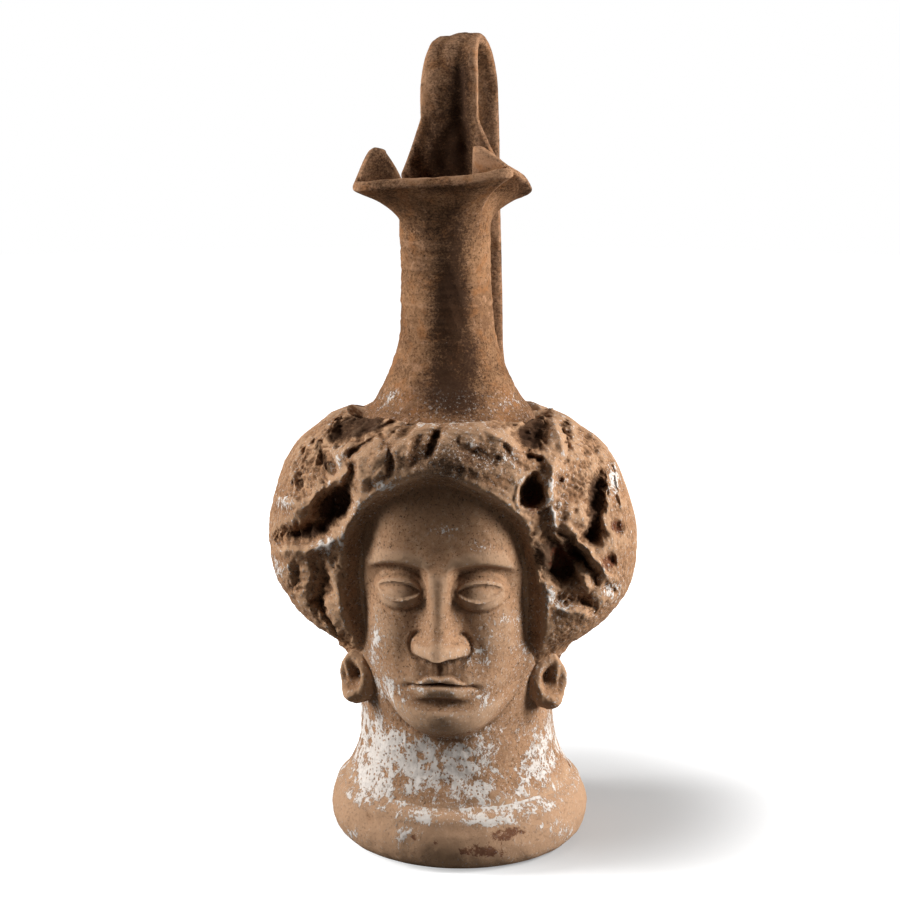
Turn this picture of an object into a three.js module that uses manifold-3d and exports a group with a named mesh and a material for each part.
// A South Italian head vase: a jug of fired clay whose body is a woman's head.
// The potter made it from separate pieces of damp clay and joined them with slip:
// a thrown foot with a floor, a front and a rear half pressed in moulds, hair and ears laid on,
// a thrown pouring neck with a pinched three-lobed mouth, and a pulled strap handle.
// Millimetres, +Z up. The face looks along -Y. The origin is the centre of the underside.
// Left and right are as seen by someone who looks at the face.
import * as THREE from "three";
import { mergeVertices } from "three/addons/utils/BufferGeometryUtils.js";
import Module from "manifold-3d";

const wasm = await Module();
wasm.setup();
const { Manifold, Mesh } = wasm;

// The slip joint between two pieces, and how far a cutter overruns what it cuts.
const slipJoint = 0.3;
const overrun = 5;
const mergeDistance = 1e-3;
// Facets that bend less than this are joined into larger ones.
const facetTolerance = 0.12;

// The thrown foot: a rolled ring that stands on a flat band, with a floor let into its bore.
const foot = { height: 19.7, radius: 44, ringWidth: 15.5, standInset: 6.5, topInset: 4.4 };
const floorThickness = 7;
const floorRadius = foot.radius - foot.ringWidth - slipJoint;

// The two moulded halves of the head, from the foot to the flat crown.
const head = { height: 129.3, halfWidth: 52, frontDepth: 40, rearDepth: 44 };
const headBottomZ = foot.height + slipJoint;
const crownZ = headBottomZ + head.height;
// The halves meet a little behind the middle, where the ears end.
const seamY = 4;

// The hair that stands round the face and covers the whole rear half.
const hairThickness = { sides: 10, front: 10, rear: 8, least: 1.5 };
const hairRise = 47;
const hair = {
  halfWidth: head.halfWidth + hairThickness.sides,
  frontDepth: head.frontDepth + hairThickness.front,
  rearDepth: head.rearDepth + hairThickness.rear,
  bottomZ: headBottomZ + hairRise,
};
// The cavity in the two halves. The rear wall carries the hair with it.
const wall = { sides: 6, front: 6, rear: 8 };
const cavity = {
  halfWidth: head.halfWidth - wall.sides,
  frontDepth: head.frontDepth - wall.front,
  rearDepth: hair.rearDepth - wall.rear,
};
const hairWave = 2.1;
const browRollHalfWidth = 23;
// The hollows were pressed in from the front, a little from one side and from above.
const press = { turn: THREE.MathUtils.degToRad(6), tilt: THREE.MathUtils.degToRad(12.6), drop: 15.8 };

// The face, a calm one on the usual thirds: chin to nose, nose to brow, brow to hairline.
// It is narrower than the head behind it and stands proud of it.
const faceInset = 20.5;
const faceProud = 4;
const face = { halfWidth: head.halfWidth - faceInset, depth: head.frontDepth + faceProud, softening: 2.5 };
const chinRise = 27;
const hairlineDrop = 17.3;
const chinZ = headBottomZ + chinRise;
const hairlineZ = crownZ - hairlineDrop;
const faceThird = (hairlineZ - chinZ) / 3;
const nose = {
  bridgeHeight: 2.2, tipHeight: 10, bridgeHalfWidth: 4.4, tipHalfWidth: 5.6, wingHeight: 3, wingRadius: 3,
};
const eye = { spacing: 26, socketDepth: 4, ballHeight: 3.6, halfWidth: 7.4, halfHeight: 4.4, lid: 1.1 };
const lips = { halfWidth: 10, height: 3, thickness: 3.1, partingDepth: 2 };
const chinBoss = { height: 2, radius: 8 };
const browRidge = { height: 1.6, thickness: 3 };

// An ear shows below the hair on each side, turned half to the front.
const ear = {
  halfWidth: 6.2, halfHeight: 9.4, thickness: 6.5, rimRadius: 2.2,
  turn: THREE.MathUtils.degToRad(42), hollowRadius: 4.4, topZ: hair.bottomZ - slipJoint * 2,
};
// Where each stands, as shares of the head's half width and front depth.
// The left one is a little nearer the face.
const leftEarShares = { side: 0.565, front: 0.425 };
const rightEarShares = { side: 0.6, front: 0.3625 };

// The pouring neck and its mouth. It stands on the crown.
const neck = { height: 55.4, flangeRadius: 33, boreRadius: 10.8, wall: 3.2, flareSharpness: 2.4 };
const neckBottomZ = crownZ + slipJoint;
const throatZ = neckBottomZ + neck.height;
// The rim: how wide and how deep the mouth is, how high its front lip stands over the throat,
// and how far the two pinched peaks rise over that.
const mouth = { halfWidth: 28.5, depth: 21.5, height: 21.4, rise: 8.6 };
const lipZ = throatZ + mouth.height;
// The mouth and the handle were set on a few degrees off the face's middle.
const pouringTurn = THREE.MathUtils.degToRad(-6);

// The strap handle, from the back of the rim over the top and down to the crown.
const strap = {
  halfWidth: 9.8, topHalfWidth: 8, thickness: 5.4, dish: 1.3,
  rimRootHalfWidth: 16.5, crownRootHalfWidth: 11.5,
};
const strapRise = 42.1;
const strapRootDrop = 4.8;
const strapPath = { frontY: 9.6, rootY: 14.9, rearY: 35.5, crownRootY: 35 };
const strapTopZ = lipZ + strapRise;
const strapRootZ = lipZ - strapRootDrop;
// Where along its length the strap has narrowed from its root, stands highest and widens again.
const strapPlaceShares = { narrowed: 0.14, top: 0.31, widening: 0.9 };
const strapClearance = 0.4;

// The whole jug leans: each level lies this share of its height off the foot's axis.
const leanShare = -0.025;

// How finely the round surfaces are divided.
const roundCount = 76;
const rearColumnCount = 112;
const footCount = 40;
const rimSpanCount = 3;
const faceRowCount = 46;
const hairRowCount = 26;
const rearRowCount = 24;
const strapRowCount = 26;
const sectionCount = 14;
// How strongly the columns of a round surface are drawn together at the front or at the sides.
const crowdingShares = { face: 0.55, brow: 0.45, wings: 0.4, rear: -0.3 };

// Outlines: each row is a share of the height, then shares of a half width or a depth.
// A table's first column is how far up the head, from the foot to the crown.
const headWidthShares = [
  [0, 0.755], [0.031, 0.715], [0.077, 0.665], [0.139, 0.637], [0.201, 0.631], [0.263, 0.646],
  [0.325, 0.669], [0.387, 0.702], [0.449, 0.779], [0.51, 0.865], [0.572, 0.942], [0.634, 0.99],
  [0.696, 1], [0.758, 0.971], [0.82, 0.904], [0.882, 0.808], [0.944, 0.692], [1, 0.577],
];
const headFrontShares = [
  [0, 0.99], [0.031, 0.93], [0.077, 0.865], [0.139, 0.828], [0.201, 0.825], [0.263, 0.86],
  [0.325, 0.9], [0.387, 0.95], [0.464, 0.985], [0.541, 1], [0.696, 1], [0.773, 0.985],
  [0.851, 0.94], [0.913, 0.87], [0.959, 0.8], [1, 0.7],
];
const hairWidthShares = [
  [0, 0.639], [0.031, 0.6], [0.077, 0.558], [0.139, 0.534], [0.201, 0.532], [0.263, 0.548],
  [0.309, 0.573], [0.356, 0.62], [0.39, 0.666], [0.418, 0.756], [0.445, 0.83], [0.472, 0.879],
  [0.526, 0.956], [0.58, 0.992], [0.634, 1], [0.688, 1], [0.742, 0.976], [0.797, 0.94],
  [0.851, 0.894], [0.905, 0.818], [0.957, 0.698], [0.982, 0.635], [1, 0.55],
];
const hairFrontShares = [
  [0.35, 0.66], [0.418, 0.8], [0.472, 0.9], [0.526, 0.96], [0.58, 0.99], [0.634, 1], [0.688, 1],
  [0.797, 0.98], [0.905, 0.99], [0.957, 0.94], [0.982, 0.87], [1, 0.78],
];
const hairRearShares = [
  [0, 0.762], [0.031, 0.715], [0.077, 0.665], [0.139, 0.637], [0.201, 0.635], [0.263, 0.66],
  [0.309, 0.69], [0.356, 0.75], [0.418, 0.85], [0.472, 0.91], [0.526, 0.96], [0.58, 0.985],
  [0.634, 1], [0.688, 1], [0.797, 0.965], [0.905, 0.885], [0.957, 0.81], [1, 0.725],
];
const cavityShares = [
  [0, 0.609], [0.139, 0.6], [0.263, 0.61], [0.325, 0.66], [0.387, 0.75], [0.464, 0.87],
  [0.541, 0.957], [0.619, 1], [0.696, 0.99], [0.773, 0.935], [0.851, 0.815], [0.913, 0.63],
  [0.959, 0.42], [1, 0.235],
];
const cavityFrontShares = [
  [0, 0.82], [0.263, 0.82], [0.325, 0.853], [0.387, 0.91], [0.464, 0.97], [0.541, 1],
  [0.696, 1], [0.773, 0.97], [0.851, 0.9], [0.913, 0.735], [0.959, 0.515], [1, 0.318],
];
const cavityRearShares = [
  [0, 0.636], [0.263, 0.636], [0.325, 0.68], [0.387, 0.76], [0.464, 0.865], [0.541, 0.955],
  [0.619, 1], [0.696, 1], [0.773, 0.955], [0.851, 0.85], [0.913, 0.68], [0.959, 0.455], [1, 0.245],
];
// Up the face in thirds, from 0 at the chin to 3 at the hairline.
const faceLevelShares = { chin: 0.24, mouth: 0.67, wings: 1.1, eyes: 1.74, brow: 2.06 };
const faceWidthShares = [
  [-0.3, 0.1], [-0.1, 0.3], [0.05, 0.46], [0.25, 0.62], [0.5, 0.77], [0.85, 0.9], [1.2, 0.97],
  [1.6, 1], [2.4, 1], [3, 0.97], [3.5, 0.9],
];
const faceProfileShares = [
  [-0.3, 0.52], [-0.12, 0.74], [0, 0.87], [0.12, 0.96], [0.3, 0.995], [0.5, 0.965], [0.67, 0.975],
  [1, 0.965], [1.5, 0.955], [2, 0.98], [2.5, 0.975], [3, 0.945], [3.3, 0.9],
];
// Up the pouring neck, from the crown to the throat.
const neckShares = [
  [0, 1], [0.025, 0.894], [0.079, 0.727], [0.134, 0.658], [0.2, 0.6], [0.26, 0.558], [0.323, 0.521],
  [0.386, 0.491], [0.495, 0.47], [0.62, 0.458], [0.747, 0.448], [1, 0.4515],
];
// Round the rim, from the front by the right to the back and home by the left. Each row is a share of
// a whole turn, shares of the mouth's half width and depth, a share of its rise over the front lip,
// and how flat the wall lies there: 1 is flat and 0 upright.
const rimShares = [
  [0, 0, -1, 0, 1],
  [0.07, 0.46, -1.03, 0.13, 1],
  [0.1225, 0.8, -0.99, 0.3, 1],
  [0.1625, 0.92, -0.84, 0.28, 0.9],
  [0.1925, 0.53, -0.6, 1, 0.2],
  [0.2425, 0.8, -0.33, 0.25, 0.5],
  [0.295, 1, 0.08, -0.55, 0.85],
  [0.35, 0.87, 0.47, -0.62, 0.8],
  [0.415, 0.5, 0.76, -0.62, 0.3],
  [0.5, 0, 0.79, -0.62, 0.2],
  [0.585, -0.5, 0.76, -0.62, 0.3],
  [0.65, -0.87, 0.47, -0.62, 0.8],
  [0.705, -1, 0.08, -0.55, 0.85],
  [0.7575, -0.86, -0.33, 0.25, 0.5],
  [0.8075, -0.67, -0.6, 1, 0.2],
  [0.8375, -0.94, -0.84, -0.3, 0.9],
  [0.8775, -0.82, -0.99, -0.22, 1],
  [0.93, -0.46, -1.03, -0.1, 1],
];

// The hollows between the locks: a run of points across and up, then a half width and a depth,
// all as shares of the hair's half width. A negative depth is a lump.
const hollowShares = [
  { run: [[-0.37, 0.19], [-0.48, 0.14], [-0.6, 0.07]], half: 0.075, depth: 0.13 },
  { run: [[-0.66, 0], [-0.7, -0.1], [-0.79, -0.16]], half: 0.09, depth: 0.09 },
  {
    run: [[-0.53, -0.1], [-0.54, -0.21], [-0.61, -0.34], [-0.73, -0.42], [-0.85, -0.44]],
    half: 0.08, depth: 0.13,
  },
  { run: [[-0.7, -0.58], [-0.7, -0.74], [-0.64, -0.87], [-0.56, -1]], half: 0.075, depth: 0.09 },
  { run: [[-0.49, -0.37], [-0.53, -0.58], [-0.52, -0.79], [-0.49, -1]], half: 0.06, depth: 0.07 },
  { run: [[0.43, 0.185], [0.51, 0.02]], half: 0.07, depth: 0.14 },
  { run: [[0.66, 0.1], [0.74, -0.03]], half: 0.06, depth: 0.05 },
  { run: [[0.8, -0.13], [0.83, -0.26], [0.77, -0.45]], half: 0.05, depth: 0.09 },
  { run: [[0.65, -0.08], [0.7, -0.22], [0.75, -0.36]], half: 0.08, depth: 0.09 },
  { run: [[0.645, -0.33], [0.65, -0.34]], half: 0.055, depth: -0.04 },
  { run: [[0.56, -0.5], [0.66, -0.66]], half: 0.12, depth: 0.13 },
  { run: [[0.54, -0.58], [0.54, -0.79], [0.53, -0.93]], half: 0.06, depth: 0.06 },
  { run: [[0.44, -0.2], [0.45, -0.26]], half: 0.08, depth: 0.13 },
  { run: [[-0.085, 0.105], [-0.095, -0.01]], half: 0.03, depth: 0.05 },
  { run: [[-0.21, 0.14], [-0.05, 0.17], [0.16, 0.15], [0.345, 0.095]], half: 0.045, depth: 0.04 },
  { run: [[-0.29, 0.06], [-0.27, 0.05]], half: 0.1, depth: -0.035 },
  { run: [[0.1, 0.06], [0.22, 0.04]], half: 0.1, depth: -0.03 },
];
// They fade out towards the sides, over this share of the hair's front depth.
const hollowReachShare = 0.4;

// Small tools.
const clamp01 = (t) => Math.min(1, Math.max(0, t));
const smooth = (t) => clamp01(t) ** 2 * (3 - 2 * clamp01(t));
const bump = (a, b) => Math.exp(-(a * a) - b * b);

// A smooth curve through a table of [place, value] rows.
function along(table, place) {
  const last = table.length - 1;
  if (place <= table[0][0]) return table[0][1];
  if (place >= table[last][0]) return table[last][1];
  const i = table.findIndex((row) => row[0] > place) - 1;
  const slope = (k) => {
    const a = table[Math.max(0, k - 1)];
    const b = table[Math.min(last, k + 1)];
    return (b[1] - a[1]) / (b[0] - a[0]);
  };
  const [x0, y0] = table[i];
  const [x1, y1] = table[i + 1];
  const w = x1 - x0;
  const t = (place - x0) / w;
  const bend0 = slope(i) * w;
  const bend1 = slope(i + 1) * w;
  return (
    y0 * (1 + 2 * t) * (1 - t) ** 2 + bend0 * t * (1 - t) ** 2 +
    y1 * t * t * (3 - 2 * t) + bend1 * t * t * (t - 1)
  );
}

// The larger of two depths, with the crease between them rounded.
function softMax(a, b, radius) {
  const h = clamp01(0.5 + (a - b) / (2 * radius));
  return b + (a - b) * h + radius * h * (1 - h) / 2;
}

function asSolid(geometry) {
  const bare = geometry.index ? geometry.toNonIndexed() : geometry.clone();
  bare.deleteAttribute("normal");
  bare.deleteAttribute("uv");
  const merged = mergeVertices(bare, mergeDistance);
  return new Manifold(new Mesh({
    numProp: 3,
    vertProperties: merged.attributes.position.array,
    triVerts: new Uint32Array(merged.index.array),
  }));
}

function asGeometry(solid) {
  const made = solid.simplify(facetTolerance).getMesh();
  const geometry = new THREE.BufferGeometry();
  geometry.setAttribute("position", new THREE.BufferAttribute(made.vertProperties, 3));
  geometry.setIndex(new THREE.BufferAttribute(made.triVerts, 1));
  geometry.computeVertexNormals();
  return geometry;
}

// A box from one corner to the other, as a cutter.
function boxBetween(low, high) {
  const size = new THREE.Vector3().subVectors(high, low);
  const box = new THREE.BoxGeometry(size.x, size.y, size.z);
  const middle = new THREE.Vector3().addVectors(low, high).multiplyScalar(0.5);
  return asSolid(box.translate(middle.x, middle.y, middle.z));
}

// A closed shell turned round the axis: rows of the profile run up the outside and down the inside.
// warp(even) turns an even angle into the one used, both counted from the front.
// place(angle, row, point) sets each point.
function turnedShell(rows, columns, warp, place) {
  const profile = rows.map((row, i) => new THREE.Vector2(1, i));
  profile.push(profile[0].clone());
  const geometry = new THREE.LatheGeometry(profile, columns);
  const position = geometry.getAttribute("position");
  const point = new THREE.Vector3();
  for (let column = 0; column <= columns; column += 1) {
    const even = (column % columns) / columns * 2 * Math.PI;
    const angle = warp(even);
    for (let i = 0; i < profile.length; i += 1) {
      place(angle, rows[i % rows.length], point);
      position.setXYZ(column * profile.length + i, point.x, point.y, point.z);
    }
  }
  return asSolid(geometry);
}

const frontWarp = (crowd) => (even) => even - crowd * Math.sin(even);
const sideWarp = (crowd) => (even) => even + crowd * Math.sin(2 * even) / 2;

// Heights from low to high, evenly spaced.
function heights(low, high, count) {
  return Array.from({ length: count }, (_, i) => low + (high - low) * i / (count - 1));
}

// The foot.
function footRing() {
  const { radius, height } = foot;
  const boreRadius = radius - foot.ringWidth;
  const standRadius = radius - foot.standInset;
  const topRadius = radius - foot.topInset;
  const rollZ = height * 0.42;
  const outline = new THREE.Shape();
  outline.moveTo(boreRadius, 0);
  outline.lineTo(standRadius, 0);
  outline.bezierCurveTo(radius * 0.96, 0, radius, rollZ * 0.45, radius, rollZ);
  const shoulderRadius = (radius + topRadius) / 2;
  outline.bezierCurveTo(radius, height * 0.8, shoulderRadius, height * 0.94, topRadius, height);
  outline.lineTo(boreRadius, height);
  outline.closePath();
  const ring = new THREE.LatheGeometry(outline.getPoints(6), footCount);
  return ring.rotateX(Math.PI / 2);
}

function floorDisc() {
  const disc = new THREE.CylinderGeometry(floorRadius, floorRadius, floorThickness, footCount);
  return disc.rotateX(Math.PI / 2).translate(0, 0, floorThickness / 2);
}

// The face.
// How far forward of the axis the face lies, at x across and z up.
function faceDepth(x, z, grow) {
  const up = (z - chinZ) / faceThird;
  const half = face.halfWidth * along(faceWidthShares, up) + grow;
  const off = Math.abs(x);
  let depth = face.depth * along(faceProfileShares, up) - half * (off / half) ** 3;

  const eyeX = off - eye.spacing / 2;
  const eyeZ = (up - faceLevelShares.eyes) * faceThird;
  const lidZ = eyeZ - eye.halfHeight * (1 - (eyeX / eye.halfWidth) ** 2) * 0.8;
  depth -= eye.socketDepth * bump(eyeX / (eye.halfWidth * 1.3), eyeZ / (eye.halfHeight * 1.7));
  depth += eye.ballHeight * bump(eyeX / eye.halfWidth, eyeZ / eye.halfHeight);
  depth += eye.lid * bump(eyeX / eye.halfWidth, lidZ / (eye.lid * 1.6));
  const browZ = (up - faceLevelShares.brow) * faceThird + eyeX ** 2 / (eye.halfWidth * 4);
  depth += browRidge.height * bump((eyeX + eye.lid) / (eye.halfWidth * 1.7), browZ / browRidge.thickness);

  const down = clamp01((faceLevelShares.brow - up) / 0.95);
  const noseHalf = nose.bridgeHalfWidth + (nose.tipHalfWidth - nose.bridgeHalfWidth) * down ** 2;
  const noseRise = nose.bridgeHeight + (nose.tipHeight - nose.bridgeHeight) * down ** 1.2;
  const noseEnds = smooth((up - 0.95) / 0.16) * smooth((2.4 - up) / 0.4);
  depth += noseRise * noseEnds * Math.exp(-((off / noseHalf) ** 2.6));
  const wingX = off - nose.tipHalfWidth * 0.9;
  const wingZ = (up - faceLevelShares.wings) * faceThird;
  depth += nose.wingHeight * bump(wingX / nose.wingRadius, wingZ / nose.wingRadius);

  const mouthZ = (up - faceLevelShares.mouth) * faceThird;
  const mouthEnds = smooth((lips.halfWidth * 1.1 - off) / (lips.halfWidth * 0.7));
  depth += lips.height * mouthEnds * bump(0, mouthZ / (lips.thickness * 1.25));
  depth -= lips.partingDepth * mouthEnds * bump(0, mouthZ / (lips.thickness * 0.4));
  const chinMiddleZ = (up - faceLevelShares.chin) * faceThird;
  depth += chinBoss.height * bump(off / chinBoss.radius, chinMiddleZ / chinBoss.radius);
  return depth + grow;
}

// The head.
const shareUp = (z) => (z - headBottomZ) / head.height;

// The outside of the front half at an angle from the front, thicker all over by grow.
function frontSurface(angle, z, grow, point) {
  const up = shareUp(z);
  const x = (head.halfWidth * along(headWidthShares, up) + grow) * Math.sin(angle);
  const depth = (head.frontDepth * along(headFrontShares, up) + grow) * Math.cos(angle);
  const forward = Math.cos(angle) > 0 ? softMax(faceDepth(x, z, grow), depth, face.softening) : depth;
  point.set(x, -forward, z);
}

function cavitySurface(angle, z, point) {
  const up = shareUp(z);
  const front = Math.cos(angle) > 0;
  const depth = front
    ? cavity.frontDepth * along(cavityFrontShares, up)
    : cavity.rearDepth * along(cavityRearShares, up);
  point.set(cavity.halfWidth * along(cavityShares, up) * Math.sin(angle), -depth * Math.cos(angle), z);
}

// How deep the hollows lie at a point of the hair, as seen along the direction they were pressed in.
function hollowDepth(point) {
  const forward = point.x * Math.sin(press.turn) - point.y * Math.cos(press.turn);
  const across = (point.x * Math.cos(press.turn) + point.y * Math.sin(press.turn)) / hair.halfWidth;
  const upward = (point.z - crownZ + press.drop) * Math.cos(press.tilt) - forward * Math.sin(press.tilt);
  const up = upward / hair.halfWidth;
  let depth = 0;
  for (const { run, half, depth: full } of hollowShares) {
    let nearest = Infinity;
    for (let i = 1; i < run.length; i += 1) {
      const [ax, ay] = run[i - 1];
      const [bx, by] = run[i];
      const length = (bx - ax) ** 2 + (by - ay) ** 2;
      const t = clamp01(((across - ax) * (bx - ax) + (up - ay) * (by - ay)) / length);
      nearest = Math.min(nearest, Math.hypot(across - ax - t * (bx - ax), up - ay - t * (by - ay)));
    }
    depth += full * Math.exp(-((nearest / half) ** 2));
  }
  return depth * hair.halfWidth * smooth(forward / (hair.frontDepth * hollowReachShare));
}

// The outside of the hair. The front is hollowed between its locks, and the rear is combed in waves.
function hairSurface(angle, z, point) {
  const up = shareUp(z);
  const front = Math.cos(angle) > 0;
  const depth = front
    ? hair.frontDepth * along(hairFrontShares, up)
    : hair.rearDepth * along(hairRearShares, up);
  point.set(hair.halfWidth * along(hairWidthShares, up) * Math.sin(angle), -depth * Math.cos(angle), z);
  const inward = new THREE.Vector3(
    -point.x / hair.halfWidth ** 2,
    -point.y / hair.frontDepth ** 2,
    -(z - (headBottomZ + head.height * 0.64)) / hair.halfWidth ** 2,
  ).normalize();
  const combed = smooth((z - hair.bottomZ) / overrun) * smooth((crownZ - z) / (overrun * 2));
  const rear = smooth(-Math.cos(angle) * 2) * combed * hairWave * (1 + Math.cos(angle * 14 + up * 9)) / 2;
  const sunk = front ? hollowDepth(point) * combed : rear;
  inward.z *= smooth(1 - up);
  point.addScaledVector(inward, sunk);
}

// The levels of the outside, close together where the face is.
function headLevels() {
  const throatZ = chinZ - faceThird * 0.4;
  const browTopZ = hairlineZ - faceThird * 0.6;
  return [
    ...heights(headBottomZ, throatZ, 6).slice(0, -1),
    ...heights(throatZ, browTopZ, faceRowCount),
    ...heights(browTopZ, crownZ, 9).slice(1),
  ];
}

const cavityLevels = () => heights(crownZ, headBottomZ, 12);

// Everything in front of the seam, or behind it, as a cutter.
function halfSpace(isFront) {
  const reach = hair.halfWidth + face.depth;
  const edge = isFront ? seamY - slipJoint / 2 : seamY + slipJoint / 2;
  const low = new THREE.Vector3(-reach, isFront ? -reach : edge, -overrun);
  const high = new THREE.Vector3(reach, isFront ? edge : reach, crownZ + overrun);
  return boxBetween(low, high);
}

function frontHalf() {
  const rows = [
    ...headLevels().map((z) => ({ z, outside: true })),
    ...cavityLevels().map((z) => ({ z, outside: false })),
  ];
  const shell = turnedShell(rows, roundCount, frontWarp(crowdingShares.face), (angle, row, point) => {
    if (row.outside) frontSurface(angle, row.z, 0, point);
    else cavitySurface(angle, row.z, point);
  });
  return shell.intersect(halfSpace(true));
}

function rearHalf() {
  const rows = [
    ...heights(headBottomZ, crownZ, rearRowCount).map((z) => ({ z, outside: true })),
    ...cavityLevels().map((z) => ({ z, outside: false })),
  ];
  const shell = turnedShell(rows, rearColumnCount, frontWarp(crowdingShares.rear), (angle, row, point) => {
    if (row.outside) hairSurface(angle, row.z, point);
    else cavitySurface(angle, row.z, point);
  });
  return shell.intersect(halfSpace(false));
}

// The front half's outside as a solid, thicker all over by grow, for fitting other pieces to it.
function headEnvelope(grow) {
  const levels = headLevels();
  const rows = [
    ...levels.map((z) => ({ z, atCore: false })),
    { z: levels.at(-1), atCore: true },
    { z: levels[0], atCore: true },
  ];
  return turnedShell(rows, roundCount, frontWarp(crowdingShares.face), (angle, row, point) => {
    if (row.atCore) point.set(Math.sin(angle) * slipJoint, -Math.cos(angle) * slipJoint, row.z);
    else frontSurface(angle, row.z, grow, point);
  });
}

// The hair in front of the seam, as one band that is then cut into the brow roll and the wings.
function hairBand(warp) {
  const outside = heights(hair.bottomZ, crownZ, hairRowCount);
  const rows = [
    ...outside.map((z) => ({ z, outside: true })),
    ...heights(crownZ, hair.bottomZ, 3).map((z) => ({ z, outside: false })),
  ];
  const core = new THREE.Vector3();
  const band = turnedShell(rows, roundCount, warp, (angle, row, point) => {
    if (!row.outside) {
      cavitySurface(angle, row.z, point);
      return;
    }
    frontSurface(angle, row.z, slipJoint * 2, core);
    hairSurface(angle, row.z, point);
    const least = Math.hypot(core.x, core.y) + hairThickness.least;
    const reach = Math.hypot(point.x, point.y);
    if (reach < least) point.set(point.x * least / reach, point.y * least / reach, point.z);
  });
  return band.intersect(halfSpace(true)).subtract(headEnvelope(slipJoint * 2)).subtract(faceWindow());
}

// The arch through which the face looks out of the hair.
function faceWindow() {
  const half = face.halfWidth + slipJoint * 2;
  const springZ = chinZ + faceThird * 1.7;
  const arch = new THREE.Shape();
  arch.moveTo(-half, headBottomZ);
  arch.lineTo(half, headBottomZ);
  arch.lineTo(half, springZ);
  arch.absellipse(0, springZ, half, hairlineZ - springZ, 0, Math.PI, false, 0);
  arch.closePath();
  const reach = hair.frontDepth + overrun * 2;
  const prism = new THREE.ExtrudeGeometry(arch, { depth: reach, bevelEnabled: false, curveSegments: 16 });
  return asSolid(prism.rotateX(Math.PI / 2));
}

// The part of the hair band between two places across.
function hairBetween(lowX, highX, warp) {
  const reach = hair.frontDepth + overrun * 2;
  const slab = boxBetween(
    new THREE.Vector3(lowX, -reach, headBottomZ),
    new THREE.Vector3(highX, reach, crownZ + overrun),
  );
  return hairBand(warp).intersect(slab);
}

// side is -1 at the left and 1 at the right.
function earPiece(side, shares) {
  const outline = new THREE.Shape().absellipse(0, 0, ear.halfWidth, ear.halfHeight, 0, 2 * Math.PI, false, 0);
  const plate = new THREE.ExtrudeGeometry(outline, {
    depth: ear.thickness, bevelThickness: ear.rimRadius, bevelSize: ear.rimRadius,
    bevelOffset: -ear.rimRadius, bevelSegments: 2, curveSegments: 10,
  });
  const hollow = new THREE.SphereGeometry(ear.hollowRadius, 12, 8);
  hollow.scale(0.8, 1.25, 0.7).translate(0, ear.halfHeight * 0.12, ear.thickness + ear.rimRadius);
  const blank = asSolid(plate).subtract(asSolid(hollow));
  const standing = asGeometry(blank);
  standing.rotateX(Math.PI / 2).rotateZ(side * ear.turn);
  standing.translate(
    side * head.halfWidth * shares.side,
    ear.thickness / 2 - head.frontDepth * shares.front,
    ear.topZ - ear.halfHeight,
  );
  return asSolid(standing).subtract(headEnvelope(slipJoint * 2)).intersect(halfSpace(true));
}

// The pouring neck and its mouth.
// A closed smooth line through one column of the rim's table, sampled at a share of the way round.
function roundRim(column, way) {
  const count = rimShares.length;
  const place = way * count;
  const i = Math.floor(place);
  const t = place - i;
  const [a, b, c, d] = [-1, 0, 1, 2].map((k) => rimShares[(i + k + count) % count][column]);
  const bend = (c - a) / 2;
  const nextBend = (d - b) / 2;
  return (
    b * (1 + 2 * t) * (1 - t) ** 2 + bend * t * (1 - t) ** 2 +
    c * t * t * (3 - 2 * t) + nextBend * t * t * (t - 1)
  );
}

// The outer edge of the rim in plan.
function rimPoint(way) {
  return new THREE.Vector2(roundRim(1, way) * mouth.halfWidth, roundRim(2, way) * mouth.depth);
}

// Where the neck's column that runs to a place on the rim stands.
function columnAngle(way) {
  const count = rimShares.length;
  const i = Math.floor(way * count) % count;
  const turn = rimShares[i][0];
  const next = i + 1 < count ? rimShares[i + 1][0] : 1;
  return (turn + (next - turn) * (way * count - Math.floor(way * count))) * 2 * Math.PI;
}

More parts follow.
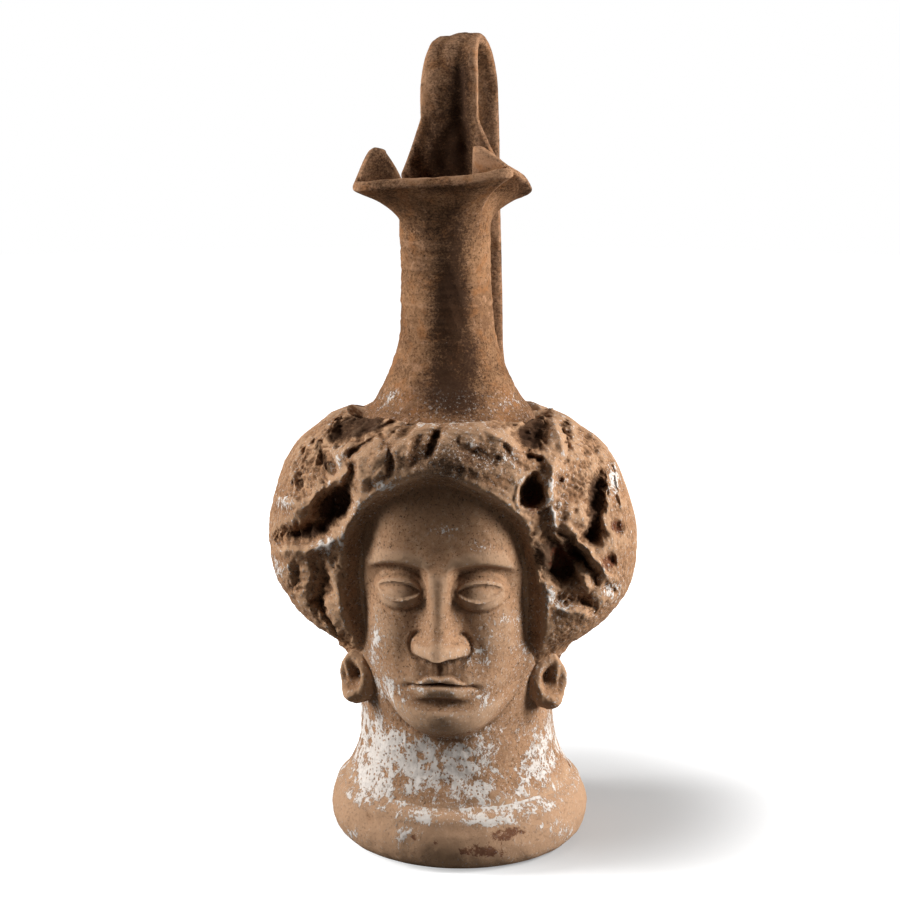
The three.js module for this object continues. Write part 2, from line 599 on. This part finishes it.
function pouringNeck() {
  const rimStep = 1 / (rimShares.length * rimSpanCount * 2);
  const shaft = throatZ - neckBottomZ;
  const shaftRadius = neck.flangeRadius * neckShares.at(-1)[1];
  const flare = heights(0, 1, 9).slice(1);
  const rows = [
    ...neckShares.map(([up]) => ({ kind: "outside", up })),
    ...flare.map((up) => ({ kind: "outerFlare", up })),
    ...[...flare].reverse().map((up) => ({ kind: "innerFlare", up })),
    ...heights(1, 0, 6).map((up) => ({ kind: "bore", up })),
  ];
  const columns = rimShares.length * rimSpanCount;
  const shell = turnedShell(rows, columns, (even) => even, (even, row, point) => {
    const way = even / (2 * Math.PI);
    const angle = columnAngle(way);
    const start = new THREE.Vector2(Math.sin(angle), -Math.cos(angle));
    if (row.kind === "outside" || row.kind === "bore") {
      const radius = row.kind === "bore" ? neck.boreRadius : neck.flangeRadius * along(neckShares, row.up);
      point.set(start.x * radius, start.y * radius, neckBottomZ + shaft * row.up);
      return;
    }
    const flat = roundRim(4, way);
    const edge = rimPoint(way);
    let edgeZ = lipZ + roundRim(3, way) * mouth.rise;
    if (row.kind === "innerFlare") {
      const ahead = rimPoint((way + rimStep) % 1).sub(rimPoint((way + 1 - rimStep) % 1)).normalize();
      edge.add(new THREE.Vector2(-ahead.y, ahead.x).multiplyScalar(neck.wall * (1.2 - flat)));
    } else edgeZ -= neck.wall * flat;
    start.multiplyScalar(row.kind === "innerFlare" ? neck.boreRadius : shaftRadius);
    start.lerp(edge, row.up ** neck.flareSharpness);
    point.set(start.x, start.y, throatZ + (edgeZ - throatZ) * row.up);
  });
  // The flange is trimmed flat behind, where the handle comes down.
  const trimY = strapPath.crownRootY - strap.thickness / 2 - strapClearance;
  const trim = boxBetween(
    new THREE.Vector3(-neck.flangeRadius, trimY, headBottomZ),
    new THREE.Vector3(neck.flangeRadius, neck.flangeRadius * 2, throatZ - shaft / 2),
  );
  return shell.subtract(trim);
}

// The strap handle.
function strapHandle() {
  const p = strapPath;
  const at = strapPlaceShares;
  const rearMiddleZ = (strapTopZ + crownZ) / 2;
  const line = new THREE.CatmullRomCurve3([
    new THREE.Vector3(0, p.rootY, strapRootZ),
    new THREE.Vector3(0, p.frontY, strapRootZ + (strapTopZ - strapRootZ) * 0.32),
    new THREE.Vector3(0, p.frontY, strapRootZ + (strapTopZ - strapRootZ) * 0.66),
    new THREE.Vector3(0, p.frontY + (p.rearY - p.frontY) * 0.16, strapTopZ - strap.halfWidth * 0.45),
    new THREE.Vector3(0, (p.frontY + p.rearY) / 2, strapTopZ),
    new THREE.Vector3(0, p.rearY - (p.rearY - p.frontY) * 0.13, strapTopZ - strap.halfWidth * 0.5),
    new THREE.Vector3(0, p.rearY, strapTopZ - strap.halfWidth * 2),
    new THREE.Vector3(0, p.rearY, rearMiddleZ),
    new THREE.Vector3(0, p.crownRootY, neckBottomZ),
  ], false, "centripetal");
  const rows = strapRowCount;
  const section = sectionCount;
  const rings = [];
  for (let i = 0; i <= rows; i += 1) {
    const t = i / rows;
    const middle = line.getPointAt(t);
    const forward = line.getTangentAt(t);
    if (i === 0 || i === rows) forward.set(0, 0, Math.sign(forward.z));
    const across = new THREE.Vector3(1, 0, 0);
    const outward = new THREE.Vector3().crossVectors(forward, across);
    const half = strap.halfWidth
      + (strap.rimRootHalfWidth - strap.halfWidth) * (1 - clamp01(t / at.narrowed)) ** 1.3
      + (strap.topHalfWidth - strap.halfWidth) * smooth(1 - Math.abs(t - at.top) * 10)
      + (strap.crownRootHalfWidth - strap.halfWidth) * smooth((t - at.widening) / (1 - at.widening));
    const ring = [];
    for (let k = 0; k < section; k += 1) {
      const angle = k / section * 2 * Math.PI;
      const side = Math.sign(Math.cos(angle)) * Math.abs(Math.cos(angle)) ** 0.7;
      const rise = Math.sign(Math.sin(angle)) * Math.abs(Math.sin(angle)) ** 0.7 * strap.thickness / 2;
      const dished = rise - strap.dish * (1 - side * side) * (Math.sin(angle) < 0 ? -1 : 0);
      ring.push(middle.clone().addScaledVector(across, side * half).addScaledVector(outward, dished));
    }
    rings.push(ring);
  }
  return asSolid(skin(rings));
}

// A closed skin over rings of points, with a flat end at each.
function skin(rings) {
  const count = rings[0].length;
  const corners = [];
  const add = (...points) => points.forEach((p) => corners.push(p.x, p.y, p.z));
  for (let i = 1; i < rings.length; i += 1) {
    for (let k = 0; k < count; k += 1) {
      const next = (k + 1) % count;
      add(rings[i - 1][k], rings[i - 1][next], rings[i][next]);
      add(rings[i - 1][k], rings[i][next], rings[i][k]);
    }
  }
  const first = rings[0];
  const last = rings[rings.length - 1];
  for (let k = 1; k < count - 1; k += 1) {
    add(first[0], first[k + 1], first[k]);
    add(last[0], last[k], last[k + 1]);
  }
  const geometry = new THREE.BufferGeometry();
  geometry.setAttribute("position", new THREE.Float32BufferAttribute(corners, 3));
  return geometry;
}

// The jug.
const bareClay = { color: 0xb08a66, roughness: 0.85, metalness: 0 };
const darkClay = { color: 0x7a5638, roughness: 0.7, metalness: 0 };
const whiteClay = { color: 0xc9b8a4, roughness: 0.9, metalness: 0 };

function piece(name, shape, finish) {
  const geometry = shape.isBufferGeometry ? shape : asGeometry(shape);
  const mesh = new THREE.Mesh(geometry, new THREE.MeshStandardMaterial(finish));
  mesh.name = name;
  return mesh;
}

const cutX = slipJoint / 2;
const farX = hair.halfWidth + overrun;
const browWarp = frontWarp(crowdingShares.brow);
const wingWarp = sideWarp(crowdingShares.wings);

const pouring = new THREE.Group();
pouring.rotation.z = pouringTurn;
pouring.add(
  piece("pouring_neck", pouringNeck(), darkClay),
  piece("strap_handle", strapHandle(), darkClay),
);

const leaning = new THREE.Group();
leaning.matrixAutoUpdate = false;
leaning.matrix.makeShear(0, 0, 0, 0, leanShare, 0);
leaning.add(
  piece("foot_ring", footRing(), whiteClay),
  piece("floor_disc", floorDisc(), bareClay),
  piece("front_half", frontHalf(), bareClay),
  piece("rear_half", rearHalf(), bareClay),
  piece("brow_roll", hairBetween(cutX - browRollHalfWidth, browRollHalfWidth - cutX, browWarp), bareClay),
  piece("left_hair_wing", hairBetween(-farX, -browRollHalfWidth - cutX, wingWarp), bareClay),
  piece("right_hair_wing", hairBetween(browRollHalfWidth + cutX, farX, wingWarp), bareClay),
  piece("left_ear", earPiece(-1, leftEarShares), bareClay),
  piece("right_ear", earPiece(1, rightEarShares), bareClay),
  pouring,
);

const vase = new THREE.Group();
vase.add(leaning);
export default vase;
